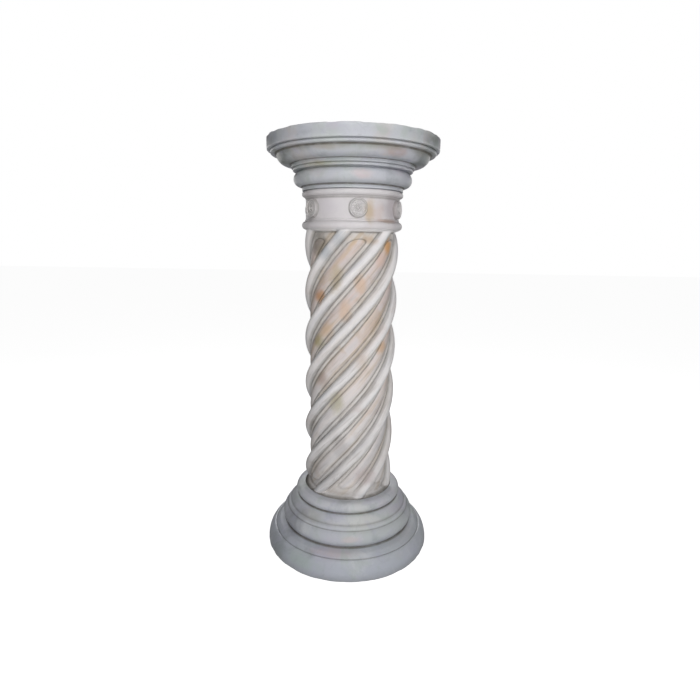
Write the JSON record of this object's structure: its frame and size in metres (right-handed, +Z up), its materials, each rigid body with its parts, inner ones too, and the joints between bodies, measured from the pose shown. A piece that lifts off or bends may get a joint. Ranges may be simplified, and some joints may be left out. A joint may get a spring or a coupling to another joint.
{
  "type": "twisted marble pedestal column",
  "caption": "Round marble pedestal column: moulded base, twisted shaft with cabled flutes, neck band with rosettes, and a moulded capital with a flat round top for a bust, vase or plant.",
  "frame": {"origin": "middle of the underside, at floor level, on the column's upright axis", "axes": "+Z up along the column's axis; -Y is the front, which a rosette nearly faces; +X to the right seen from the front"},
  "size_m": [0.418, 0.4178, 1.0025],
  "materials": {
    "grey_marble": "satin, worn, with grime in the hollows",
    "cream_marble": "satin, worn, with tan and pink stains"
  },
  "bodies": {
    "root": {"base": "grey_marble", "shaft": "cream_marble", "capital": "grey_marble"}
  },
  "joints": []
}
